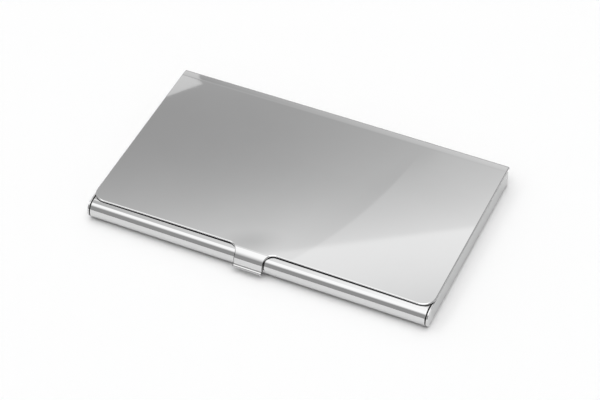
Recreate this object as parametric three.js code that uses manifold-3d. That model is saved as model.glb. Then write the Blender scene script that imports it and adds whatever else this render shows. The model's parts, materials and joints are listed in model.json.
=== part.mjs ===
// Slim sheet-steel case for business cards, in millimetres.
// X runs along the length, Y towards the hinge and Z up. The origin lies under the middle of the
// whole case, on the surface that it rests on.

import * as THREE from 'three';
import { mergeVertices } from 'three/addons/utils/BufferGeometryUtils.js';
import { ConvexGeometry } from 'three/addons/geometries/ConvexGeometry.js';
import Module from 'manifold-3d';

const wasm = await Module();
wasm.setup();

// Base: one folded sheet with a rolled front
const caseLength = 93;
const baseDepth = 55.1; // front of the roll to the rear edge of the side walls
const baseHeight = 5.45;
const baseSheet = 0.45;
const baseBend = 0.55; // outside radius of the folds along the bottom
const rollTail = 1.6; // flat end of the roll, hidden under the lid
const rollEndGap = 0.28; // open seam between the roll and each side wall
const backWallEndGap = 0.35; // room between the back wall and the hinge parts beside it
const foldRelief = 0.3; // slit at each end of the back wall's fold

// Lid: one sheet with a closing tab in front and a short flange behind
const lidSheet = 0.45;
const lidSeatGap = 0.15; // seam between the lid and the side walls
const lidNose = 0.27; // front edge, ahead of the middle of the roll
const lidOverhang = 1.16; // rear edge, behind the side walls
const lidCornerRadius = 3.5;
const lidBend = 0.9; // outside radius of the rear bend
const flangeDrop = 1.1; // top of the lid to the lower edge of the flange

// Closing tab
const tabWidth = 8;
const tabOffset = -1.1; // the tab stands a little left of the middle
const tabShelf = 0.82; // flat stretch ahead of the lid's front edge
const tabFillet = 2.6;
const tabGap = 0.27; // room between the tab and the front of the roll
const tabEndHeight = 2.26; // where the straight stretch ends and the lip begins
const lipBend = 0.8; // inside radius
const lipAngle = THREE.MathUtils.degToRad(62); // away from the straight stretch
const lipLength = 0.39; // flat part of the lip

// Hinge strip, welded under the lid, with an ear at each end
const stripSheet = 0.4;
const stripWidth = 4;
const stripSetback = 0.55; // rear edge of the strip, ahead of the hinge axis
const stripBend = 0.6; // outside radius of the folds to the ears
const earRadius = 1.05;
const earGap = 0.1; // between an ear and the side wall beside it

// Hinge axis and its two pins
const hingeSetback = 1.08; // ahead of the rear edge of the side walls
const hingeDrop = 2.175; // below the underside of the lid
const swingGap = 0.1; // room for what turns past the back wall
const pinRadius = 0.5;
const pinSeatGap = 0.02; // round the pin, in the side wall
const pinPlay = 0.06; // round the pin, in the ear
const pinHeadRadius = 0.7; // outer head, sunk flush into the side wall
const pinHeadDepth = 0.2;
const pinInnerHeadRadius = 0.85;
const pinInnerHead = 0.3;
const pinSidePlay = 0.05; // between the ear and the inner head

// Steps along curved outlines, and how far a cutter or a join runs past its surface
const rollSteps = 24;
const tabSteps = 12;
const bendSteps = 6;
const cornerSteps = 10;
const pinSteps = 32;
const overrun = 0.5;

// Places that follow from the sizes
const quarterTurn = Math.PI / 2;
const halfLength = caseLength / 2;
const wallInside = halfLength - baseSheet;
const rollRadius = baseHeight / 2;
const lipRadius = lipBend + lidSheet / 2;
const lipReach = lipRadius * (1 - Math.cos(lipAngle)) + lipLength * Math.sin(lipAngle)
  + lidSheet / 2 * Math.cos(lipAngle);
const tabReach = tabGap + lidSheet / 2 + lipReach; // lip's edge, ahead of the roll
const lidRear = (tabReach + baseDepth + lidOverhang) / 2;
const wallRear = lidRear - lidOverhang;
const rollMiddle = wallRear - baseDepth + rollRadius;
const rollHalf = wallInside - rollEndGap;
const lidUnder = baseHeight + lidSeatGap;
const lidTop = lidUnder + lidSheet;
const lidFront = rollMiddle - lidNose;
const tabBend = rollRadius + tabGap - lidNose - tabShelf; // inside radius
const hingeY = wallRear - hingeSetback;
const hingeZ = lidUnder - hingeDrop;
const earOutside = wallInside - earGap;
const earInside = earOutside - stripSheet;
const stripRear = hingeY - stripSetback;
const stripFront = stripRear - stripWidth;
const pinInside = earInside - pinSidePlay;
const backWallHalf = pinInside - pinInnerHead - backWallEndGap;
const backWallSwing = hingeDrop - stripSheet - swingGap; // hinge axis to the wall's top corner
const backWallHeight = hingeZ + Math.sqrt(backWallSwing ** 2 - hingeSetback ** 2);

// A closed geometry as a solid that can be joined and cut
function toSolid(geometry) {
  const bare = geometry.clone();
  bare.deleteAttribute('normal');
  bare.deleteAttribute('uv');
  const welded = mergeVertices(bare);
  return new wasm.Manifold(new wasm.Mesh({
    numProp: 3,
    vertProperties: Float32Array.from(welded.attributes.position.array),
    triVerts: Uint32Array.from(welded.index.array),
  }));
}

function toGeometry(solid) {
  const { vertProperties, triVerts } = solid.getMesh();
  const geometry = new THREE.BufferGeometry();
  geometry.setAttribute('position', new THREE.BufferAttribute(vertProperties, 3));
  geometry.setIndex(new THREE.BufferAttribute(triVerts, 1));
  geometry.computeVertexNormals();
  return geometry;
}

// A drawn outline as a prism: place turns its two coordinates and the third one into a point
function prism(shape, steps, from, to, place) {
  const settings = { depth: 1, bevelEnabled: false, curveSegments: steps / 2 };
  const geometry = new THREE.ExtrudeGeometry(shape, settings);
  const corners = geometry.attributes.position;
  for (let i = 0; i < corners.count; i += 1) {
    const along = corners.getZ(i) > 0.5 ? to : from;
    corners.setXYZ(i, ...place(corners.getX(i), corners.getY(i), along));
  }
  return toSolid(geometry);
}

// An outline in Y and Z, run along X
function alongX(shape, from, to, steps = bendSteps) {
  return prism(shape, steps, from, to, (y, z, x) => [x, y, z]);
}

// An outline in X and Z, run along Y
function alongY(shape, from, to, steps = bendSteps) {
  return prism(shape, steps, to, from, (x, z, y) => [x, y, z]);
}

// An outline in X and Y, run along Z
function alongZ(shape, from, to, steps = cornerSteps) {
  return prism(shape, steps, from, to, (x, y, z) => [x, y, z]);
}

function rectangle(left, bottom, right, top) {
  return new THREE.Shape([
    new THREE.Vector2(left, bottom),
    new THREE.Vector2(right, bottom),
    new THREE.Vector2(right, top),
    new THREE.Vector2(left, top),
  ]);
}

// A turned piece on the hinge axis: rows of radius and distance from the middle of the case
function turned(rows, side) {
  const profile = rows.map(([radius, reach]) => new THREE.Vector2(radius, reach));
  const geometry = new THREE.LatheGeometry(profile, pinSteps);
  geometry.rotateZ(-side * quarterTurn);
  geometry.translate(0, hingeY, hingeZ);
  return toSolid(geometry);
}

// Front roll: the bottom sheet turns up, back over the cards and ends flat under the lid
function frontRoll() {
  const shape = new THREE.Shape();
  const inner = rollRadius - baseSheet;
  shape.moveTo(rollMiddle + overrun, 0);
  shape.lineTo(rollMiddle, 0);
  shape.absarc(rollMiddle, rollRadius, rollRadius, -quarterTurn, -3 * quarterTurn, true);
  shape.lineTo(rollMiddle + rollTail, baseHeight);
  shape.lineTo(rollMiddle + rollTail, baseHeight - baseSheet);
  shape.absarc(rollMiddle, rollRadius, inner, -3 * quarterTurn, -quarterTurn, false);
  shape.lineTo(rollMiddle + overrun, baseSheet);
  return alongX(shape, -rollHalf, rollHalf, rollSteps);
}

// Bottom with the folds that lead up to the side walls
function bottomSheet() {
  const shape = new THREE.Shape();
  const foldTop = baseBend + overrun;
  const foldMiddle = halfLength - baseBend;
  const inner = baseBend - baseSheet;
  shape.moveTo(halfLength, foldTop);
  shape.lineTo(wallInside, foldTop);
  shape.absarc(foldMiddle, baseBend, inner, 0, -quarterTurn, true);
  shape.absarc(-foldMiddle, baseBend, inner, -quarterTurn, -2 * quarterTurn, true);
  shape.lineTo(-wallInside, foldTop);
  shape.lineTo(-halfLength, foldTop);
  shape.absarc(-foldMiddle, baseBend, baseBend, -2 * quarterTurn, -quarterTurn, false);
  shape.absarc(foldMiddle, baseBend, baseBend, -quarterTurn, 0, false);
  const sheet = alongY(shape, rollMiddle, wallRear);
  const reach = backWallHalf + foldRelief;
  const notch = rectangle(-reach, wallRear - baseBend, reach, wallRear + overrun);
  return sheet.subtract(alongZ(notch, -overrun, foldTop));
}

// Low back wall between the hinge ears
function backWall() {
  const shape = new THREE.Shape();
  const foldMiddle = wallRear - baseBend;
  shape.moveTo(foldMiddle - overrun, 0);
  shape.absarc(foldMiddle, baseBend, baseBend, -quarterTurn, 0, false);
  shape.lineTo(wallRear, backWallHeight);
  shape.lineTo(wallRear - baseSheet, backWallHeight);
  shape.absarc(foldMiddle, baseBend, baseBend - baseSheet, 0, -quarterTurn, true);
  shape.lineTo(foldMiddle - overrun, baseSheet);
  return alongX(shape, -backWallHalf, backWallHalf);
}

// Side wall: its front end is round like the roll, and its upper rear corner is rounded off
// so that the lid's rear edge can swing past it
function sideWall(side) {
  const shape = new THREE.Shape();
  shape.moveTo(rollMiddle, 0);
  shape.absarc(rollMiddle, rollRadius, rollRadius, -quarterTurn, -3 * quarterTurn, true);
  shape.absarc(hingeY, baseHeight - hingeSetback, hingeSetback, quarterTurn, 0, true);
  shape.lineTo(wallRear, baseBend);
  shape.lineTo(rollMiddle, baseBend);
  const [from, to] = side > 0 ? [wallInside, halfLength] : [-halfLength, -wallInside];
  const seat = turned([
    [0, wallInside - overrun],
    [pinRadius + pinSeatGap, wallInside - overrun],
    [pinRadius + pinSeatGap, halfLength - pinHeadDepth],
    [pinHeadRadius + pinSeatGap, halfLength],
    [pinHeadRadius + pinSeatGap, halfLength + overrun],
    [0, halfLength + overrun],
  ], side);
  return alongX(shape, from, to, rollSteps).subtract(seat);
}

// Closing tab: the lid's sheet runs on a little, bends down over the roll, drops straight and ends
// in a small lip that turns outwards.
// Each row gives the outer and inner surface as Y and Z, and how far its fillets still spread.
function tabRows() {
  const rows = [];
  const bendMiddle = lidUnder - tabBend;
  const middleRadius = tabBend + lidSheet / 2;
  const row = (y, z, turn, spread) => {
    const across = [Math.sin(turn) * lidSheet / 2, Math.cos(turn) * lidSheet / 2];
    rows.push({
      outer: [y - across[0], z + across[1]],
      inner: [y + across[0], z - across[1]],
      spread,
    });
  };
  const filletSpread = (run) => {
    const left = Math.max(0, tabFillet - run);
    return tabFillet - Math.sqrt(tabFillet ** 2 - left ** 2);
  };
  rows.push({
    outer: [lidFront + overrun, lidTop],
    inner: [lidFront + overrun, lidUnder],
    spread: tabFillet,
  });
  const bendEnd = tabShelf + quarterTurn * middleRadius;
  const runs = [];
  for (let i = 0; i <= cornerSteps; i += 1) {
    runs.push(tabFillet * (1 - Math.cos(quarterTurn * i / cornerSteps)));
  }
  const rest = Math.ceil(tabSteps * (1 - tabFillet / bendEnd));
  for (let i = 1; i <= rest; i += 1) {
    runs.push(tabFillet + (bendEnd - tabFillet) * i / rest);
  }
  for (const run of runs) {
    const turn = Math.max(0, run - tabShelf) / middleRadius;
    const y = lidFront - Math.min(run, tabShelf) - middleRadius * Math.sin(turn);
    const z = bendMiddle + middleRadius * Math.cos(turn);
    row(y, z, turn, filletSpread(run));
  }
  const faceMiddle = lidFront - tabShelf - middleRadius;
  for (let i = 0; i <= bendSteps; i += 1) {
    const turn = lipAngle * i / bendSteps;
    const y = faceMiddle - lipRadius * (1 - Math.cos(turn));
    const z = tabEndHeight - lipRadius * Math.sin(turn);
    row(y, z, quarterTurn - turn, 0);
  }
  const endY = faceMiddle - lipRadius * (1 - Math.cos(lipAngle)) - lipLength * Math.sin(lipAngle);
  const endZ = tabEndHeight - lipRadius * Math.sin(lipAngle) - lipLength * Math.cos(lipAngle);
  row(endY, endZ, quarterTurn - lipAngle, 0);
  return rows;
}

function closingTab() {
  const positions = [];
  const faces = [];
  const rows = tabRows();
  rows.forEach(({ outer, inner, spread }) => {
    const left = tabOffset - tabWidth / 2 - spread;
    const right = tabOffset + tabWidth / 2 + spread;
    positions.push(left, ...outer, right, ...outer, right, ...inner, left, ...inner);
  });
  for (let i = 0; i < rows.length - 1; i += 1) {
    for (let side = 0; side < 4; side += 1) {
      const here = 4 * i + side;
      const beside = 4 * i + (side + 1) % 4;
      faces.push(here, here + 4, beside + 4, here, beside + 4, beside);
    }
  }
  const last = 4 * (rows.length - 1);
  faces.push(0, 1, 2, 0, 2, 3, last, last + 3, last + 2, last, last + 2, last + 1);
  const geometry = new THREE.BufferGeometry();
  geometry.setAttribute('position', new THREE.Float32BufferAttribute(positions, 3));
  geometry.setIndex(faces);
  return toSolid(geometry);
}

// Lid plate and its rear flange, with rounded front corners
function lidPlate() {
  const shape = new THREE.Shape();
  const bendMiddle = lidRear - lidBend;
  const flangeEnd = lidTop - flangeDrop;
  shape.moveTo(lidFront, lidUnder);
  shape.absarc(bendMiddle, lidTop - lidBend, lidBend - lidSheet, quarterTurn, 0, true);
  shape.lineTo(lidRear - lidSheet, flangeEnd);
  shape.lineTo(lidRear, flangeEnd);
  shape.absarc(bendMiddle, lidTop - lidBend, lidBend, 0, quarterTurn, false);
  shape.lineTo(lidFront, lidTop);
  const plan = new THREE.Shape();
  const cornerX = halfLength - lidCornerRadius;
  const cornerY = lidFront + lidCornerRadius;
  plan.moveTo(halfLength + overrun, lidRear + overrun);
  plan.lineTo(-halfLength - overrun, lidRear + overrun);
  plan.lineTo(-halfLength - overrun, cornerY);
  plan.lineTo(-halfLength, cornerY);
  plan.absarc(-cornerX, cornerY, lidCornerRadius, 2 * quarterTurn, 3 * quarterTurn, false);
  plan.absarc(cornerX, cornerY, lidCornerRadius, -quarterTurn, 0, false);
  plan.lineTo(halfLength + overrun, cornerY);
  const keep = alongZ(plan, flangeEnd - overrun, lidTop + overrun);
  return alongX(shape, -halfLength, halfLength).intersect(keep);
}

// Ear of the hinge strip: an eye round the pin, tapering out to the fold above
function hingeEar(side) {
  const points = [];
  const top = lidUnder - stripBend;
  for (const x of [earInside * side, earOutside * side]) {
    points.push(new THREE.Vector3(x, stripFront, top), new THREE.Vector3(x, stripRear, top));
    for (let i = 0; i < pinSteps; i += 1) {
      const turn = 4 * quarterTurn * i / pinSteps;
      const y = hingeY + earRadius * Math.cos(turn);
      const z = hingeZ + earRadius * Math.sin(turn);
      points.push(new THREE.Vector3(x, y, z));
    }
  }
  return toSolid(new ConvexGeometry(points));
}

function hingeStripSolid() {
  const shape = new THREE.Shape();
  const foldMiddle = earOutside - stripBend;
  const foldCentre = lidUnder - stripBend;
  const inner = stripBend - stripSheet;
  const foldEnd = foldCentre - stripSheet;
  shape.moveTo(earOutside, foldEnd);
  shape.absarc(foldMiddle, foldCentre, stripBend, 0, quarterTurn, false);
  shape.absarc(-foldMiddle, foldCentre, stripBend, quarterTurn, 2 * quarterTurn, false);
  shape.lineTo(-earOutside, foldEnd);
  shape.lineTo(-earInside, foldEnd);
  shape.absarc(-foldMiddle, foldCentre, inner, 2 * quarterTurn, quarterTurn, true);
  shape.absarc(foldMiddle, foldCentre, inner, quarterTurn, 0, true);
  shape.lineTo(earInside, foldEnd);
  const eyeRadius = pinRadius + pinPlay;
  let strip = alongY(shape, stripFront, stripRear);
  for (const side of [-1, 1]) {
    const hole = turned([
      [0, earInside - overrun],
      [eyeRadius, earInside - overrun],
      [eyeRadius, earOutside + overrun],
      [0, earOutside + overrun],
    ], side);
    strip = strip.add(hingeEar(side)).subtract(hole);
  }
  return strip;
}

// Hinge pin: flush outer head, shank through wall and ear, flat inner head
function hingePin(side) {
  return turned([
    [0, pinInside - pinInnerHead],
    [pinInnerHeadRadius, pinInside - pinInnerHead],
    [pinInnerHeadRadius, pinInside],
    [pinRadius, pinInside],
    [pinRadius, halfLength - pinHeadDepth],
    [pinHeadRadius, halfLength],
    [0, halfLength],
  ], side);
}

const satinSteel = { color: 0xb9bbbd, roughness: 0.28, metalness: 1 };
const innerSteel = { color: 0xa9abad, roughness: 0.4, metalness: 1 };
const pinSteel = { color: 0xc4c5c7, roughness: 0.22, metalness: 1 };

const cardCase = new THREE.Group();

function addPiece(name, solid, finish) {
  const piece = new THREE.Mesh(toGeometry(solid), new THREE.MeshStandardMaterial(finish));
  piece.name = name;
  cardCase.add(piece);
}

const base = bottomSheet().add(frontRoll()).add(backWall()).add(sideWall(-1)).add(sideWall(1));
addPiece('base_shell', base, satinSteel);
addPiece('lid', lidPlate().add(closingTab()), satinSteel);
addPiece('hinge_strip', hingeStripSolid(), innerSteel);
addPiece('hinge_pin_left', hingePin(-1), pinSteel);
addPiece('hinge_pin_right', hingePin(1), pinSteel);

export default cardCase;
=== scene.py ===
import json
import math

import bmesh
import bpy
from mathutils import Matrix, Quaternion, Vector
from mathutils.geometry import tessellate_polygon


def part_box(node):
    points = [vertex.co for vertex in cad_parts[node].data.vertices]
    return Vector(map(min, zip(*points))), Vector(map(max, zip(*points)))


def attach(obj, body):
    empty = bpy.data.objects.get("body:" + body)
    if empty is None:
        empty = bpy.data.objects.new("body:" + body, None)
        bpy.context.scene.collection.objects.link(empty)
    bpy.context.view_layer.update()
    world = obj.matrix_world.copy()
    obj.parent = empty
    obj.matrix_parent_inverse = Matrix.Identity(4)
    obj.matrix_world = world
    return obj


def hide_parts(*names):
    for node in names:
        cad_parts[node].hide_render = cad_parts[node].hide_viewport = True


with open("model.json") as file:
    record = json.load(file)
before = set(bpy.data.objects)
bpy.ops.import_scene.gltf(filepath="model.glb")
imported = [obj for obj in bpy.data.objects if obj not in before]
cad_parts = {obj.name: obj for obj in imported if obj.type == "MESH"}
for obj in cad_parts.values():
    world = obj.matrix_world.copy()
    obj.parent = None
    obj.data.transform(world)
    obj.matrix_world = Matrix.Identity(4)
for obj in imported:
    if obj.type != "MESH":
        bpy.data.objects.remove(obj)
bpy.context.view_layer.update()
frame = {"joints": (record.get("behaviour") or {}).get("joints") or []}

mm = 0.001
quarterTurn = math.pi / 2
farOff = 99              # past any edge of a blank, in millimetres
touch = 0.01             # points this near to a limit still count as on it
snap = 0.0005            # a cut this near to a corner goes through it
leastMitre = 0.35        # keeps the rim short where an outline turns sharply

# view of the photograph, in degrees, metres and lens millimetres
viewPoint = {"azimuth": 25.228, "elevation": 44.925, "roll": -0.8985, "distance": 0.54838,
             "aimX": -0.000167, "aimY": 0.0010465, "lens": 128.21, "sensor": 36}


def backward(azimuth, elevation):
    turn, rise = math.radians(azimuth), math.radians(elevation)
    return Vector((math.sin(turn) * math.cos(rise), -math.cos(turn) * math.cos(rise), math.sin(rise)))


def viewTurn(v):
    # the camera's backward direction and its turn
    back = backward(v["azimuth"], v["elevation"])
    return back, (-back).to_track_quat("-Z", "Y") @ Quaternion((0, 0, 1), math.radians(v["roll"]))


def addCamera(v):
    lens = bpy.data.cameras.new("photoCamera")
    lens.lens = v["lens"]
    lens.sensor_width = v["sensor"]
    camera = bpy.data.objects.new("photoCamera", lens)
    bpy.context.scene.collection.objects.link(camera)
    back, turn = viewTurn(v)
    camera.location = Vector((v["aimX"], v["aimY"], 0)) + back * v["distance"]
    camera.rotation_euler = turn.to_euler()
    bpy.context.scene.camera = camera


addCamera(viewPoint)
print("camera set")


# places read from the frame, in millimetres

def boxInMm(node):
    low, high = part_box(node)
    return [c / mm for c in low], [c / mm for c in high]


baseLow, baseHigh = boxInMm("base_shell")
lidHigh = boxInMm("lid")[1]
stripLow, stripHigh = boxInMm("hinge_strip")
pinLow, pinHigh = boxInMm("hinge_pin_right")
hingeY = frame["joints"][0]["pos_m"][1] / mm
hingeZ = frame["joints"][0]["pos_m"][2] / mm


# folding a flat blank: u runs along the case, v from front to back, and h up through the sheet

def bend(radius, degrees):
    # length of the curved stretch at mid sheet and its curve; positive folds away from the upper face
    return abs(math.radians(degrees)) * radius, math.copysign(1 / radius, degrees)


def straight(length):
    return length, 0.0


onward = straight(farOff)


def walkBends(run, bends):
    # how far along and up the sheet has come after a run of its length, and how far it has turned
    along = up = turn = 0.0
    for length, curve in bends:
        part = min(run, length)
        if curve:
            after = turn + part * curve
            along += (math.sin(after) - math.sin(turn)) / curve
            up += (math.cos(after) - math.cos(turn)) / curve
            turn = after
        else:
            along += part * math.cos(turn)
            up -= part * math.sin(turn)
        run -= part
        if run <= 0:
            break
    return along, up, turn


def foldPoint(point, normal, flaps):
    # each point is on one flap at most; reach is how far the flap goes to each side
    for flap in flaps:
        axis, side = flap["axis"], flap["side"]
        run = side * point[axis] - flap["start"]
        if run <= 0 or abs(point[1 - axis]) > flap["reach"]:
            continue
        along, up, turn = walkBends(run, flap["bends"])
        cosine, sine = math.cos(turn), math.sin(turn)
        height, outward = point[2], side * normal[axis]
        moved, turned = point.copy(), normal.copy()
        moved[axis] = side * (flap["start"] + along + height * sine)
        moved[2] = up + height * cosine
        turned[axis] = side * (outward * cosine + normal[2] * sine)
        turned[2] = normal[2] * cosine - outward * sine
        return moved, turned
    return point, normal


def foldCuts(flaps, axis, degreesApart):
    # where the blank is cut into rows so that each bend comes out round
    cuts = []
    for flap in flaps:
        if flap["axis"] != axis:
            continue
        run = 0.0
        cuts.append(flap["side"] * flap["start"])
        for length, curve in flap["bends"]:
            steps = max(1, round(math.degrees(length * abs(curve)) / degreesApart))
            for i in range(steps):
                run += length / steps
                cuts.append(flap["side"] * (flap["start"] + run))
    return cuts


def evenCuts(low, high, count):
    return [low + (high - low) * i / count for i in range(1, count)]


def arc(centre, radius, fromDegrees, toDegrees, steps):
    points = []
    for i in range(steps + 1):
        turn = math.radians(fromDegrees + (toDegrees - fromDegrees) * i / steps)
        points.append((centre[0] + radius * math.cos(turn), centre[1] + radius * math.sin(turn)))
    return points


def insetLoop(loop, inset):
    # moves each point of an outline into the material, and gives its outward direction
    moved = []
    for i, point in enumerate(loop):
        here = Vector(point)
        before = (here - Vector(loop[i - 1])).normalized()
        after = (Vector(loop[(i + 1) % len(loop)]) - here).normalized()
        outA = Vector((before.y, -before.x))
        outB = Vector((after.y, -after.x))
        out = (outA + outB).normalized()
        moved.append((here - out * inset / max(leastMitre, out.dot(outA)), out))
    return moved


def edgeRows(bends, degreesApart):
    # inset, drop and turn along a rounded or bevelled edge, from the face to the rim
    runs = [0.0]
    for length, curve in bends:
        steps = max(1, round(math.degrees(length * abs(curve)) / degreesApart))
        runs += [runs[-1] + length * (i + 1) / steps for i in range(steps)]
    reach = walkBends(farOff, bends)[0]
    return [(reach - along, -up, turn) for along, up, turn in (walkBends(run, bends) for run in runs)]


def rimRows(sheet, top, bottom, degreesApart):
    # inset, height and tilt of the normal, from the upper face round the edge to the lower one
    rows = []
    for inset, drop, turn in edgeRows(top, degreesApart):
        rows.append((inset, sheet / 2 - drop, quarterTurn - turn))
    for inset, drop, turn in reversed(edgeRows(bottom, degreesApart)):
        rows.append((inset, drop - sheet / 2, turn - quarterTurn))
    return rows


def cutBlank(bm, cutsU, cutsV):
    for axis, cuts in ((0, cutsU), (1, cutsV)):
        across = Vector((1 - axis, axis, 0))
        for cut in sorted(set(round(c, 4) for c in cuts)):
            geometry = bm.verts[:] + bm.edges[:] + bm.faces[:]
            bmesh.ops.bisect_plane(bm, geom=geometry, dist=snap, plane_co=across * cut, plane_no=across)


def foldedSheet(name, loops, rims, flaps, cutsU, cutsV, middle, lift, shadeMark):
    # loops: the outline, counter-clockwise, then the holes, clockwise, each with its own rim; lift gives
    # the rise and slope at a place along the case, and shadeMark how much painted shade a point takes
    bm = bmesh.new()
    normalLayer = bm.verts.layers.float_vector.new("flatNormal")
    rimLayer = bm.verts.layers.float.new("rim")
    shadeMarkLayer = bm.verts.layers.float.new("shadeMark")
    tops, bottoms = [], []
    for loop, rim in zip(loops, rims):
        rings = []
        for inset, height, tilt in rim:
            ring = []
            for point, (place, out) in zip(loop, insetLoop(loop, inset)):
                vert = bm.verts.new((place.x, place.y, height))
                vert[normalLayer] = Vector((out.x * math.cos(tilt), out.y * math.cos(tilt), math.sin(tilt)))
                vert[rimLayer] = math.cos(tilt)
                vert[shadeMarkLayer] = shadeMark(*point, tilt)
                ring.append(vert)
            rings.append(ring)
        for upper, lower in zip(rings, rings[1:]):
            for i in range(len(loop)):
                j = (i + 1) % len(loop)
                bm.faces.new((upper[i], lower[i], lower[j], upper[j]))
        tops.append(rings[0])
        bottoms.append(rings[-1])
    for rings, turned in ((tops, False), (bottoms, True)):
        verts = [v for ring in rings for v in ring]
        for corners in tessellate_polygon([[v.co for v in ring] for ring in rings]):
            picked = [verts[c] for c in corners]
            a, b, c = (v.co for v in picked)
            if ((b - a).cross(c - a).z < 0) != turned:
                picked.reverse()
            bm.faces.new(picked)
    cutBlank(bm, cutsU, cutsV)
    normals = []
    bm.verts.index_update()
    for vert in bm.verts:
        place, normal = foldPoint(vert.co.copy(), vert[normalLayer].copy(), flaps)
        rise, slopeX = lift(vert.co.x)
        normal.x -= normal.z * slopeX
        normals.append(normal.normalized())
        vert.co = Vector((place.x, place.y, place.z + middle + rise)) * mm
    mesh = bpy.data.meshes.new(name)
    bm.verts.layers.float_vector.remove(normalLayer)
    bm.to_mesh(mesh)
    bm.free()
    mesh.polygons.foreach_set("use_smooth", [True] * len(mesh.polygons))
    mesh.normals_split_custom_set_from_vertices(normals)
    piece = bpy.data.objects.new(name, mesh)
    bpy.context.scene.collection.objects.link(piece)
    return piece


def flat(u):
    return 0.0, 0.0


def nowhere(u, v, tilt):
    return 0.0


def settle(piece, body, slot, *nodes):
    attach(piece, body)
    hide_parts(*nodes)


def mirrored(half):
    return half + [(-u, v) for u, v in reversed(half)]


# base: bottom, side walls with half-round front ends, roll and back wall from one blank

caseBaseSizes = {"sheet": 0.45, "foldRadius": 0.55, "tail": 1.6, "endGap": 0.28, "slit": 0.1,
                 "backGap": 1.65, "backRelief": 0.3, "backClear": 0.65, "rearCorner": 1.08,
                 # wallShade: share of painted shade on the side walls
                 "edge": 0.11, "corner": 0.3, "wallShade": 0.2,
                 "seat": 0.72, "seatFlare": 0.2, "seatStep": 0.03, "seatSoft": 0.02, "seatTilt": -0.7,
                 "rollStep": 4, "foldStep": 11, "edgeStep": 30, "acrossCuts": 12, "depthCuts": 6,
                 "cornerSteps": 4, "startSteps": 7, "endSteps": 30, "rearSteps": 10, "seatSteps": 40}


def makeCaseBase(s):
    sheet = s["sheet"]
    rollRadius = baseHigh[2] / 2
    rollMiddle = baseLow[1] + rollRadius
    rollBend = rollRadius - sheet / 2
    wallFold = s["foldRadius"] - sheet / 2
    wallStart = baseHigh[0] - s["foldRadius"]
    wallFlat = wallStart + quarterTurn * wallFold          # where the wall stands straight
    wallTop = wallFlat + baseHigh[2] - s["foldRadius"]
    rollEnd = baseHigh[0] - sheet - s["endGap"]
    tailEnd = rollMiddle - 2 * quarterTurn * rollBend - s["tail"]
    rear = baseHigh[1]
    backStart = rear - s["foldRadius"]
    swing = lidHigh[2] - sheet - hingeZ - s["backClear"]   # hinge axis to the back wall's top corner
    backHeight = hingeZ + math.sqrt(swing ** 2 - (rear - hingeY) ** 2)
    backEnd = backStart + quarterTurn * wallFold + backHeight - s["foldRadius"]
    backHalf = baseHigh[0] - s["backGap"]
    half = arc((rollEnd - s["corner"], tailEnd + s["corner"]), s["corner"], -90, 0, s["cornerSteps"])
    half += [(rollEnd, rollMiddle + s["slit"]), (wallStart, rollMiddle + s["slit"])]
    for i in range(1, s["startSteps"]):                    # round end, where the wall still folds
        turn = quarterTurn * i / s["startSteps"]
        height = s["foldRadius"] * (1 - math.cos(turn))
        ahead = math.sqrt(rollRadius ** 2 - (rollRadius - height) ** 2)
        half.append((wallStart + wallFold * turn, rollMiddle - ahead))
    startTurn = math.acos(1 - s["foldRadius"] / rollRadius)
    for i in range(s["endSteps"] + 1):                     # and where it stands straight
        turn = startTurn + (2 * quarterTurn - startTurn) * i / s["endSteps"]
        height = rollRadius * (1 - math.cos(turn))
        half.append((wallFlat + height - s["foldRadius"], rollMiddle - rollRadius * math.sin(turn)))
    corner = s["rearCorner"]
    half += arc((wallTop - corner, rear - corner), corner, 0, 90, s["rearSteps"])
    half += [(backHalf + s["backRelief"], rear), (backHalf + s["backRelief"], backStart)]
    half += [(backHalf, backStart)]
    half += arc((backHalf - s["corner"], backEnd - s["corner"]), s["corner"], 0, 90, s["cornerSteps"])
    outline = mirrored(half)

    def wallShade(u, v, tilt):
        # painted shade: the folded walls take some of the near-black tone, darkening the shaded floor they
        # mirror
        return s["wallShade"] if abs(u) > wallFlat - touch and v > rollMiddle - touch else 0.0

    up = [bend(wallFold, -90), onward]
    flaps = [{"axis": 0, "side": side, "start": wallStart, "reach": farOff, "bends": up} for side in (-1, 1)]
    flaps.append({"axis": 1, "side": -1, "start": -rollMiddle, "reach": rollEnd + touch,
                  "bends": [bend(rollBend, -180), onward]})
    flaps.append({"axis": 1, "side": 1, "start": backStart, "reach": backHalf + touch, "bends": up})
    edge = [bend(s["edge"], 90)]
    rim = rimRows(sheet, edge, edge, s["edgeStep"])
    loops, rims = [outline], [rim]
    for side in (-1, 1):                                   # seats of the hinge pins
        centre = (side * (wallFlat + hingeZ - s["foldRadius"]), hingeY)
        loops.append(arc(centre, s["seat"], 360, 0, s["seatSteps"])[:-1])
        flare, soft = s["seatFlare"], s["seatSoft"]
        rims.append([(flare, sheet / 2, quarterTurn), (flare, sheet / 2 - s["seatStep"], 0),
                     (0.0, soft - sheet / 2, s["seatTilt"]), (soft, -sheet / 2, -quarterTurn)])
    cutsU = foldCuts(flaps, 0, s["foldStep"]) + evenCuts(-wallStart, wallStart, s["acrossCuts"])
    cutsV = foldCuts(flaps, 1, s["rollStep"]) + evenCuts(rollMiddle, backStart, s["depthCuts"])
    piece = foldedSheet("caseBase", loops, rims, flaps, cutsU, cutsV, sheet / 2, flat, wallShade)
    settle(piece, "base", "satin_steel", "base_shell")
    return piece


# lid: plate with round front corners, closing tab with its lip, and the short rear flange

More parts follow.
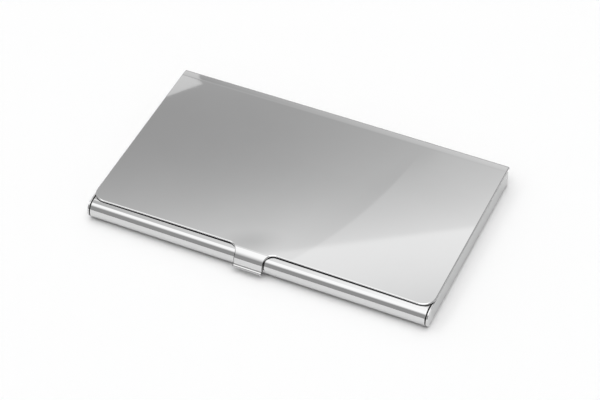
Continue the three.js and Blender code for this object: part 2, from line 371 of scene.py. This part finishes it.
caseLidSizes = {"sheet": 0.45, "nose": 0.27, "cornerRadius": 3.5, "rearBend": 0.9, "flangeDrop": 1.02,
                "tabLeft": -5.1, "tabRight": 2.9, "tabFillet": 2.6, "tabShelf": 0.39, "tabGap": 0.1,
                "browRadius": 0.5, "browTurn": 27.5, "slopeRadius": 5.9, "slopeTurn": 17,
                "tabTurn": 84, "tabEnd": 2.5, "lipBend": 0.2, "creaseTurn": 31, "creaseFlat": 0.22,
                "lipTurn": 25, "lipRise": 0.1, "lipRound": 0.3, "lipBack": 24, "lipFlat": 0.35,
                # painted shade on the tab's sides: fading in from the lip's end and out past the fillet, on
                # the side faces only
                "shadeFrom": 0.4, "shadeTo": 1.2, "shadeSharp": 2,
                "topEdge": 0.13, "bevel": 35, "bevelFlat": 0.15, "lowerEdge": 0.1, "corner": 0.3,
                "bow": 0.12, "hollow": 0.2, "easeLength": 2.0, "easeTurn": 3.5,
                "foldStep": 5, "edgeStep": 20, "acrossCuts": 24, "depthCuts": 12,
                "lipSteps": 5, "filletSteps": 18, "hollowSteps": 8, "frontSteps": 24, "rearSteps": 4}


def lidBow(u):
    # the plate stands a little proud between its ends
    half = lidHigh[0]
    bow = caseLidSizes["bow"]
    return bow * (1 - (u / half) ** 2), -2 * bow * u / half ** 2


def makeCaseLid(s):
    sheet = s["sheet"]
    half = lidHigh[0]
    middle = lidHigh[2] - sheet / 2
    front = baseLow[1] + baseHigh[2] / 2 - s["nose"]
    tabReach = baseHigh[2] / 2 + s["tabGap"] - s["nose"] + sheet / 2
    tabRuns = [straight(s["tabShelf"]), bend(s["browRadius"], s["browTurn"]),
               bend(s["slopeRadius"], s["slopeTurn"])]
    along, up, turn = walkBends(farOff, tabRuns)
    tabBend = (tabReach - along) / (math.sin(math.radians(s["tabTurn"])) - math.sin(turn))
    tabRuns.append(bend(tabBend, s["tabTurn"] - math.degrees(turn)))
    tabRuns.append(straight(max(0.0, middle - s["tabEnd"] + walkBends(farOff, tabRuns)[1])))
    rearBend = s["rearBend"] - sheet / 2
    rearStart = lidHigh[1] - s["rearBend"]
    rearEnd = rearStart + quarterTurn * rearBend + s["flangeDrop"] - s["rearBend"]
    lipBend = s["lipBend"] + sheet / 2
    tabRuns += [bend(lipBend, -s["creaseTurn"]), straight(s["creaseFlat"]), bend(lipBend, -s["lipTurn"]),
                straight(s["lipRise"]), bend(s["lipRound"], s["lipBack"])]
    tabEnd = front - sum(length for length, curve in tabRuns) - s["lipFlat"]
    left, right, fillet, corner = s["tabLeft"], s["tabRight"], s["tabFillet"], s["corner"]

    def hollow(u):
        return front + s["hollow"] * (1 - (u / half) ** 2)

    # painted shade: the tab's sides are painted near-black, standing for the shade in the gap between the
    # tab and the roll
    def tabSideShade(u, v, tilt):
        # the cut sides of the tab are dull
        place = min(1.0, front - s["tabFillet"] + s["shadeTo"] - v, (v - tabEnd) / s["shadeFrom"])
        return max(0.0, place) * min(1.0, s["shadeSharp"] * math.cos(tilt))

    noseCorner = half - s["cornerRadius"]
    outline = arc((left + corner, tabEnd + corner), corner, 180, 270, s["lipSteps"])
    outline += arc((right - corner, tabEnd + corner), corner, -90, 0, s["lipSteps"])
    outline += arc((right + fillet, hollow(right + fillet) - fillet), fillet, 180, 90, s["filletSteps"])
    outline += [(u, hollow(u)) for u in evenCuts(right + fillet, noseCorner, s["hollowSteps"])]
    outline += arc((noseCorner, front + s["cornerRadius"]), s["cornerRadius"], -90, 0, s["frontSteps"])
    outline += arc((half - corner, rearEnd - corner), corner, 0, 90, s["rearSteps"])
    outline += arc((corner - half, rearEnd - corner), corner, 90, 180, s["rearSteps"])
    outline += arc((-noseCorner, front + s["cornerRadius"]), s["cornerRadius"], 180, 270, s["frontSteps"])
    outline += [(u, hollow(u)) for u in evenCuts(-noseCorner, left - fillet, s["hollowSteps"])]
    outline += arc((left - fillet, hollow(left - fillet) - fillet), fillet, 90, 0, s["filletSteps"])
    easeRadius = s["easeLength"] / math.radians(s["easeTurn"])
    rearRuns = [bend(easeRadius, s["easeTurn"]), bend(rearBend, 90 - s["easeTurn"])]
    flaps = [{"axis": 1, "side": 1, "start": rearStart - s["easeLength"], "reach": farOff,
              "bends": rearRuns + [onward]},
             {"axis": 1, "side": -1, "start": -front, "reach": farOff, "bends": tabRuns + [onward]}]
    top = [bend(s["topEdge"], s["bevel"]), straight(s["bevelFlat"]), bend(s["topEdge"], 90 - s["bevel"])]
    rim = rimRows(sheet, top, [bend(s["lowerEdge"], 90)], s["edgeStep"])
    cutsU = evenCuts(-half, half, s["acrossCuts"])
    cutsV = foldCuts(flaps, 1, s["foldStep"]) + evenCuts(front, rearStart, s["depthCuts"])
    piece = foldedSheet("caseLid", [outline], [rim], flaps, cutsU, cutsV, middle, lidBow, tabSideShade)
    settle(piece, "lid", "satin_steel", "lid")
    return piece


# hinge strip under the lid, with an ear bent down inside each side wall

hingeStripSizes = {"sheet": 0.4, "foldRadius": 0.6, "width": 4, "setback": 0.55, "edge": 0.1,
                   "eye": 0.56, "eyeEdge": 0.04, "foldStep": 9, "edgeStep": 30, "acrossCuts": 24,
                   "earSteps": 24, "eyeSteps": 32}


def tangentTurn(point, centre, radius, side):
    # where a line from the point touches the circle, in degrees round it
    away = Vector(point) - Vector(centre)
    return math.degrees(math.atan2(away.y, away.x) + side * math.acos(radius / away.length))


def makeHingeStrip(s):
    sheet = s["sheet"]
    fold = s["foldRadius"] - sheet / 2
    foldStart = stripHigh[0] - s["foldRadius"]
    earStart = foldStart + quarterTurn * fold
    rear = hingeY - s["setback"]
    front = rear - s["width"]
    eyeCentre = (earStart + stripHigh[2] - s["foldRadius"] - hingeZ, hingeY)
    earRadius = hingeZ - stripLow[2]
    frontTurn = tangentTurn((earStart, front), eyeCentre, earRadius, 1)
    rearTurn = tangentTurn((earStart, rear), eyeCentre, earRadius, -1)
    ear = arc(eyeCentre, earRadius, frontTurn - 360, rearTurn, s["earSteps"])
    half = [(earStart, front)] + ear + [(earStart, rear)]
    down = {"axis": 0, "start": foldStart, "reach": farOff, "bends": [bend(fold, 90), onward]}
    flaps = [dict(down, side=side) for side in (-1, 1)]
    edge, eyeEdge = [bend(s["edge"], 90)], [bend(s["eyeEdge"], 90)]
    loops, rims = [mirrored(half)], [rimRows(sheet, edge, edge, s["edgeStep"])]
    for side in (-1, 1):
        loops.append(arc((side * eyeCentre[0], hingeY), s["eye"], 360, 0, s["eyeSteps"])[:-1])
        rims.append(rimRows(sheet, eyeEdge, eyeEdge, 90))
    cutsU = foldCuts(flaps, 0, s["foldStep"]) + evenCuts(-foldStart, foldStart, s["acrossCuts"])
    middle = stripHigh[2] - sheet / 2
    piece = foldedSheet("hingeStrip", loops, rims, flaps, cutsU, [hingeY], middle, lidBow, nowhere)
    settle(piece, "lid", "strip_steel", "hinge_strip")
    return piece


# hinge pins: flush head outside, shank, flat head inside; radius and distance from the middle

hingePinSizes = {"shank": 0.5, "head": 0.7, "headDepth": 0.2, "innerHead": 0.85, "innerThick": 0.3,
                 "round": 0.05, "around": 48, "sharpFrom": 40}


def makeHingePin(side, s):
    outer, inner = pinHigh[0], pinLow[0]
    neck = inner + s["innerThick"]
    soft = s["round"]
    profile = [(0, inner), (s["innerHead"] - 2 * soft, inner), (s["innerHead"] - soft / 2, inner + soft / 2),
               (s["innerHead"], inner + 2 * soft), (s["innerHead"], neck), (s["shank"], neck),
               (s["shank"], outer - s["headDepth"]), (s["head"], outer - soft / 2),
               (s["head"] - soft, outer), (0, outer)]
    bm = bmesh.new()
    rings = []
    for radius, x in profile:
        count = s["around"] if radius else 1
        ring = []
        for i in range(count):
            turn = 4 * quarterTurn * i / count
            place = (side * x, hingeY + radius * math.cos(turn), hingeZ + radius * math.sin(turn))
            ring.append(bm.verts.new(Vector(place) * mm))
        rings.append(ring)
    for lower, upper in zip(rings, rings[1:]):
        count = max(len(lower), len(upper))
        for i in range(count):
            j = (i + 1) % count
            corners = [lower[i % len(lower)], lower[j % len(lower)],
                       upper[j % len(upper)], upper[i % len(upper)]]
            bm.faces.new(list(dict.fromkeys(corners)))     # three corners at the pin's middle
    bmesh.ops.recalc_face_normals(bm, faces=bm.faces)
    name = "hingePinRight" if side > 0 else "hingePinLeft"
    mesh = bpy.data.meshes.new(name)
    bm.to_mesh(mesh)
    bm.free()
    mesh.polygons.foreach_set("use_smooth", [True] * len(mesh.polygons))
    mesh.set_sharp_from_angle(angle=math.radians(s["sharpFrom"]))
    piece = bpy.data.objects.new(name, mesh)
    bpy.context.scene.collection.objects.link(piece)
    settle(piece, "base", "pin_steel", "hinge_pin_right" if side > 0 else "hinge_pin_left")
    return piece


caseBase = makeCaseBase(caseBaseSizes)
caseLid = makeCaseLid(caseLidSizes)
hingeStrip = makeHingeStrip(hingeStripSizes)
hingePins = [makeHingePin(side, hingePinSizes) for side in (-1, 1)]
print("case folded")


# node helpers for the finishes and the light

def addNode(tree, kind, **settings):
    node = tree.nodes.new(kind)
    for key, value in settings.items():
        setattr(node, key, value)
    return node


def plug(tree, value, socket):
    if isinstance(value, bpy.types.NodeSocket):
        tree.links.new(value, socket)
    else:
        socket.default_value = value


def mathNode(tree, operation, *values):
    node = addNode(tree, "ShaderNodeMath", operation=operation)
    for value, socket in zip(values, node.inputs):
        plug(tree, value, socket)
    return node.outputs[0]


def smoothStep(tree, value, low, high, below=0.0, above=1.0):
    node = addNode(tree, "ShaderNodeMapRange", interpolation_type="SMOOTHSTEP")
    names = ("Value", "From Min", "From Max", "To Min", "To Max")
    for key, entry in zip(names, (value, low, high, below, above)):
        plug(tree, entry, node.inputs[key])
    return node.outputs["Result"]


def blend(tree, factor, first, second):
    node = addNode(tree, "ShaderNodeMix", data_type="FLOAT")
    plug(tree, factor, node.inputs[0])
    plug(tree, first, node.inputs[2])
    plug(tree, second, node.inputs[3])
    return node.outputs[0]


def dotWith(tree, vector, direction):
    node = addNode(tree, "ShaderNodeVectorMath", operation="DOT_PRODUCT")
    tree.links.new(vector, node.inputs[0])
    node.inputs[1].default_value = direction
    return node.outputs["Value"]


# steel: polished sheet with a very fine grain along the case, rougher on its rounded edges

satinSteel = {"name": "satinSteel", "pale": (0.676, 0.677, 0.678), "dark": (0.664, 0.665, 0.666),
              "roughLow": 0.010, "roughHigh": 0.020, "edgeRough": 0.1, "grain": (35, 2600, 2600),
              "grainDepth": 2e-8, "mottle": 60, "crevice": 0.0016}
stripSteel = {"name": "stripSteel", "pale": (0.60, 0.605, 0.61), "dark": (0.52, 0.525, 0.53),
              "roughLow": 0.26, "roughHigh": 0.36, "edgeRough": 0.05, "grain": (60, 1500, 1500),
              "grainDepth": 6e-7, "mottle": 240, "crevice": 0.0004}
pinSteel = {"name": "pinSteel", "pale": (0.68, 0.685, 0.69), "dark": (0.62, 0.625, 0.63),
            "roughLow": 0.16, "roughHigh": 0.22, "edgeRough": 0.05, "grain": (2500, 900, 900),
            "grainDepth": 3e-7, "mottle": 500, "crevice": 0.0003}
steelGrain = {"detail": 3.0, "mottleDetail": 4.0, "toneFrom": 0.35, "toneTo": 0.65,
              "share": 0.4, "mottleShare": 0.6, "roughFrom": 0.3, "roughTo": 0.7}
# painted shade: the near-black tone mixed into the steel's colour where the ambient occlusion within crevice
# reach is low, and on marked places
paintedShade = {"tone": (0.035, 0.034, 0.033), "shut": 0.15, "open": 0.5, "samples": 8}


def addNoise(tree, where, scale, detail):
    noise = addNode(tree, "ShaderNodeTexNoise")
    tree.links.new(where, noise.inputs["Vector"])
    noise.inputs["Scale"].default_value = scale
    noise.inputs["Detail"].default_value = detail
    return noise.outputs["Fac"]


def mixTones(tree, factor, first, second):
    node = addNode(tree, "ShaderNodeMix", data_type="RGBA")
    plug(tree, factor, node.inputs["Factor"])
    for value, key in ((first, "A"), (second, "B")):
        plug(tree, value if isinstance(value, bpy.types.NodeSocket) else (*value, 1), node.inputs[key])
    return node.outputs["Result"]


def steelFinish(s):
    material = bpy.data.materials.new(s["name"])
    material.use_nodes = True
    tree = material.node_tree
    shader = tree.nodes["Principled BSDF"]
    shader.inputs["Metallic"].default_value = 1.0
    where = addNode(tree, "ShaderNodeTexCoord").outputs["Object"]
    stretch = addNode(tree, "ShaderNodeMapping")
    tree.links.new(where, stretch.inputs["Vector"])
    stretch.inputs["Scale"].default_value = s["grain"]
    grain = addNoise(tree, stretch.outputs[0], 1.0, steelGrain["detail"])
    mottle = addNoise(tree, where, s["mottle"], steelGrain["mottleDetail"])
    # base colour: pale and dark steel at random, then painted shade: the near-black tone on the marked tab
    # sides and walls, and wherever the ambient occlusion finds narrow gaps and the floor close by
    paleness = smoothStep(tree, mottle, steelGrain["toneFrom"], steelGrain["toneTo"])
    tone = mixTones(tree, paleness, s["dark"], s["pale"])
    cut = addNode(tree, "ShaderNodeAttribute", attribute_name="shadeMark").outputs["Fac"]
    tone = mixTones(tree, cut, tone, paintedShade["tone"])
    shadeOcclusion = addNode(tree, "ShaderNodeAmbientOcclusion", samples=paintedShade["samples"])
    shadeOcclusion.inputs["Distance"].default_value = s["crevice"]
    openness = smoothStep(tree, shadeOcclusion.outputs["AO"], paintedShade["shut"], paintedShade["open"])
    tree.links.new(mixTones(tree, openness, paintedShade["tone"], tone), shader.inputs["Base Color"])
    # roughness: more on the rounded edges
    rim = addNode(tree, "ShaderNodeAttribute", attribute_name="rim").outputs["Fac"]
    mixed = mathNode(tree, "MULTIPLY", mottle, steelGrain["mottleShare"])
    mixed = mathNode(tree, "MULTIPLY_ADD", grain, steelGrain["share"], mixed)
    low, high = steelGrain["roughFrom"], steelGrain["roughTo"]
    rough = smoothStep(tree, mixed, low, high, s["roughLow"], s["roughHigh"])
    tree.links.new(mathNode(tree, "MULTIPLY_ADD", rim, s["edgeRough"], rough), shader.inputs["Roughness"])
    bump = addNode(tree, "ShaderNodeBump")
    bump.inputs["Distance"].default_value = s["grainDepth"]
    tree.links.new(grain, bump.inputs["Height"])
    tree.links.new(bump.outputs["Normal"], shader.inputs["Normal"])
    return material


steelOf = {s["name"]: steelFinish(s) for s in (satinSteel, stripSteel, pinSteel)}
for piece in (caseBase, caseLid):
    piece.data.materials.append(steelOf["satinSteel"])
hingeStrip.data.materials.append(steelOf["stripSteel"])
for piece in hingePins:
    piece.data.materials.append(steelOf["pinSteel"])
print("finishes made")


# floor: plain white paper

floorValues = {"half": 1.5, "albedo": 0.975, "drop": 0.00002}


def makeFloor(s):
    half, z = s["half"], -s["drop"]
    mesh = bpy.data.meshes.new("floor")
    corners = [(-half, -half, z), (half, -half, z), (half, half, z), (-half, half, z)]
    mesh.from_pydata(corners, [], [(0, 1, 2, 3)])
    floor = bpy.data.objects.new("floor", mesh)
    bpy.context.scene.collection.objects.link(floor)
    material = bpy.data.materials.new("floorPaper")
    material.use_nodes = True
    tree = material.node_tree
    tree.nodes.clear()
    paper = addNode(tree, "ShaderNodeBsdfDiffuse")
    paper.inputs["Color"].default_value = (s["albedo"], s["albedo"], s["albedo"], 1)
    end = addNode(tree, "ShaderNodeOutputMaterial")
    tree.links.new(paper.outputs[0], end.inputs["Surface"])
    floor.data.materials.append(material)


# light: a soft overhead, brighter behind a seam across it and on the left, over a dim room, and a tall
# soft screen behind the case, which the lid mirrors; places on the screen are slopes from its middle,
# to the right and up

roomLight = {"overhead": 1.43, "overheadLow": 0.69, "overheadHigh": 0.91, "lean": (-0.1, -0.12, 1.0),
             "seamAt": -0.166, "seamSoft": 0.03,
             "rear": 2.58, "rearRise": 5.0, "rearLow": 0.6, "rearHigh": 1.35,
             "left": 1.9, "leftNear": -0.39, "leftFar": -0.47, "top": 2.28, "topFrom": -0.22, "topTo": -0.12,
             "dark": 0.39, "sweep": 0.5, "sweepToward": (-0.6, 0.8, 0.0), "sweepLow": -0.1, "sweepHigh": 0.7,
             "screenNear": 0.93, "screenFar": 0.985, "tint": (1.0, 1.0, 1.0)}

# on the screen: a smooth sheen, brighter beyond an arc and above a shelf, a soft dark patch, a pale
# corner, and the brink, which only the lid's rear bend sees

screenLight = {"middle": 0.692, "right": 1.089, "up": 8.924, "twist": -3.45, "swell": 113.7, "bulge": 6.41,
               "low": 0.42, "high": 1.25, "leastDepth": 0.2,
               "arcAt": (-0.07615, -0.12931), "arcRadius": 0.17449, "arcSoft": 0.0004, "arcStep": 0.036,
               "glowWidth": 0.012, "glowStep": 0.01, "dipWidth": 0.016, "dipStep": -0.045,
               "arcFades": -0.021, "arcFull": -0.003,
               "shelfSlope": 0.0874, "shelfAt": 0.0242, "shelfSoft": 0.0016, "shelfStep": 0.15,
               "shelfFall": -14.6, "shelfBend": -250, "shelfEnd": 0.038,
               "patchAt": (-0.0240, 0.0197), "patchSize": (0.0125, 0.0044), "patchStep": -0.15,
               "patchEnd": 1.7,
               "cornerBelow": 0.293, "cornerBelowAt": -0.0733, "cornerBeside": -0.753,
               "cornerBesideAt": -0.0202, "cornerSoft": 0.0003, "cornerStep": 0.34,
               "brinkSlope": -0.298, "brinkNear": -0.044, "brinkFar": -0.09,
               "brinkMiddle": 0.57, "brinkRight": 2.55,
               "cornerLean": 0.26, "cornerNear": -0.0664, "cornerFar": -0.0680}


def screenLevel(tree, across, rise, s):
    def combine(operation, *values):
        return mathNode(tree, operation, *values)

    def step(value, low, high, below=0.0, above=1.0):
        return smoothStep(tree, value, low, high, below, above)

    def sloped(slope):
        return combine("MULTIPLY_ADD", across, slope, rise)

    def past(value, at, soft):
        return step(value, at - soft, at + soft)

    def away(middle, size):
        # 1 on an ellipse round the middle
        squares = []
        for value, centre, half in zip((across, rise), middle, size):
            offset = combine("DIVIDE", combine("SUBTRACT", value, centre), half)
            squares.append(combine("POWER", offset, 2.0))
        return combine("SQRT", combine("ADD", *squares))

    level = combine("MULTIPLY_ADD", across, s["bulge"], s["right"])
    level = combine("MULTIPLY_ADD", across, level, s["middle"])
    climb = combine("MULTIPLY_ADD", rise, s["swell"], s["up"])
    climb = combine("MULTIPLY_ADD", across, s["twist"], climb)
    level = combine("MULTIPLY_ADD", rise, climb, level)

    # the arc: a glow beyond its edge and a dip before it, both fading to the far end
    radius = s["arcRadius"]
    out = away(s["arcAt"], (radius, radius))
    clear = step(rise, s["arcFades"], s["arcFull"])
    peak = combine("MULTIPLY", clear, s["arcStep"] + s["glowStep"])
    glow = step(out, 1, 1 + s["glowWidth"] / radius, peak, s["arcStep"])
    dip = step(out, 1 - s["dipWidth"] / radius, 1, 0.0, combine("MULTIPLY", clear, s["dipStep"]))
    level = combine("ADD", level, blend(tree, past(out, 1, s["arcSoft"] / radius), dip, glow))

    # the shelf: a step up, then level, then down
    place = sloped(s["shelfSlope"])
    run = combine("MINIMUM", combine("SUBTRACT", place, s["shelfAt"]), s["shelfEnd"])
    fall = combine("MULTIPLY_ADD", run, s["shelfBend"], s["shelfFall"])
    fall = combine("MULTIPLY_ADD", run, fall, s["shelfStep"])
    level = combine("MULTIPLY_ADD", past(place, s["shelfAt"], s["shelfSoft"]), fall, level)

    # the dark patch near the tab
    patch = step(away(s["patchAt"], s["patchSize"]), 0.0, s["patchEnd"], 1.0, 0.0)
    level = combine("MULTIPLY_ADD", patch, s["patchStep"], level)

    # the pale corner, under one line and past another
    below = past(sloped(s["cornerBelow"]), s["cornerBelowAt"], s["cornerSoft"])
    beside = past(sloped(s["cornerBeside"]), s["cornerBesideAt"], s["cornerSoft"])
    corner = combine("MULTIPLY", combine("SUBTRACT", 1.0, below), beside)
    level = combine("MULTIPLY_ADD", corner, s["cornerStep"], level)

    # the brink, pale at its left end too
    brink = combine("MULTIPLY_ADD", across, s["brinkRight"], s["brinkMiddle"])
    along = combine("MULTIPLY_ADD", rise, s["cornerLean"], across)
    corner = step(along, s["cornerFar"], s["cornerNear"], 1.0, 0.0)
    brink = combine("MULTIPLY_ADD", corner, s["cornerStep"], brink)
    level = blend(tree, step(sloped(s["brinkSlope"]), s["brinkFar"], s["brinkNear"]), brink, level)
    return combine("MINIMUM", combine("MAXIMUM", level, s["low"]), s["high"])


def roomLevel(tree, toward, s):
    def part(value, low, high, first, second):
        return blend(tree, smoothStep(tree, value, low, high), first, second)

    parts = addNode(tree, "ShaderNodeSeparateXYZ")
    tree.links.new(toward, parts.inputs[0])
    toRight, toBack = parts.outputs[:2]
    rear = mathNode(tree, "MULTIPLY_ADD", toRight, s["rearRise"], s["rear"])
    rear = mathNode(tree, "MINIMUM", mathNode(tree, "MAXIMUM", rear, s["rearLow"]), s["rearHigh"])
    seamLow, seamHigh = s["seamAt"] - s["seamSoft"], s["seamAt"] + s["seamSoft"]
    overhead = part(toBack, seamLow, seamHigh, s["overhead"], rear)
    overhead = part(toRight, s["topFrom"], s["topTo"], overhead, s["top"])
    overhead = part(toRight, s["leftFar"], s["leftNear"], s["left"], overhead)
    sweep = dotWith(tree, toward, s["sweepToward"])
    side = smoothStep(tree, sweep, s["sweepLow"], s["sweepHigh"], s["dark"], s["sweep"])
    return part(dotWith(tree, toward, s["lean"]), s["overheadLow"], s["overheadHigh"], side, overhead)


def makeLight(s, screen, v):
    world = bpy.data.worlds.new("softRoom")
    bpy.context.scene.world = world
    world.use_nodes = True
    tree = world.node_tree
    toward = addNode(tree, "ShaderNodeTexCoord").outputs["Generated"]
    back, turn = viewTurn(v)
    right, up = turn @ Vector((1, 0, 0)), turn @ Vector((0, 1, 0))
    flip = Vector((1, 1, -1))                              # what the flat lid does to a direction
    depth = dotWith(tree, toward, -back * flip)
    safeDepth = mathNode(tree, "MAXIMUM", depth, screen["leastDepth"])
    across = mathNode(tree, "DIVIDE", dotWith(tree, toward, right * flip), safeDepth)
    rise = mathNode(tree, "DIVIDE", dotWith(tree, toward, -up * flip), safeDepth)
    onScreen = smoothStep(tree, depth, s["screenNear"], s["screenFar"])
    level = blend(tree, onScreen, roomLevel(tree, toward, s), screenLevel(tree, across, rise, screen))
    background = tree.nodes["Background"]
    background.inputs["Color"].default_value = (*s["tint"], 1)
    tree.links.new(level, background.inputs["Strength"])


makeFloor(floorValues)
makeLight(roomLight, screenLight, viewPoint)
bpy.context.scene.view_settings.view_transform = "Standard"
print("floor and light set")
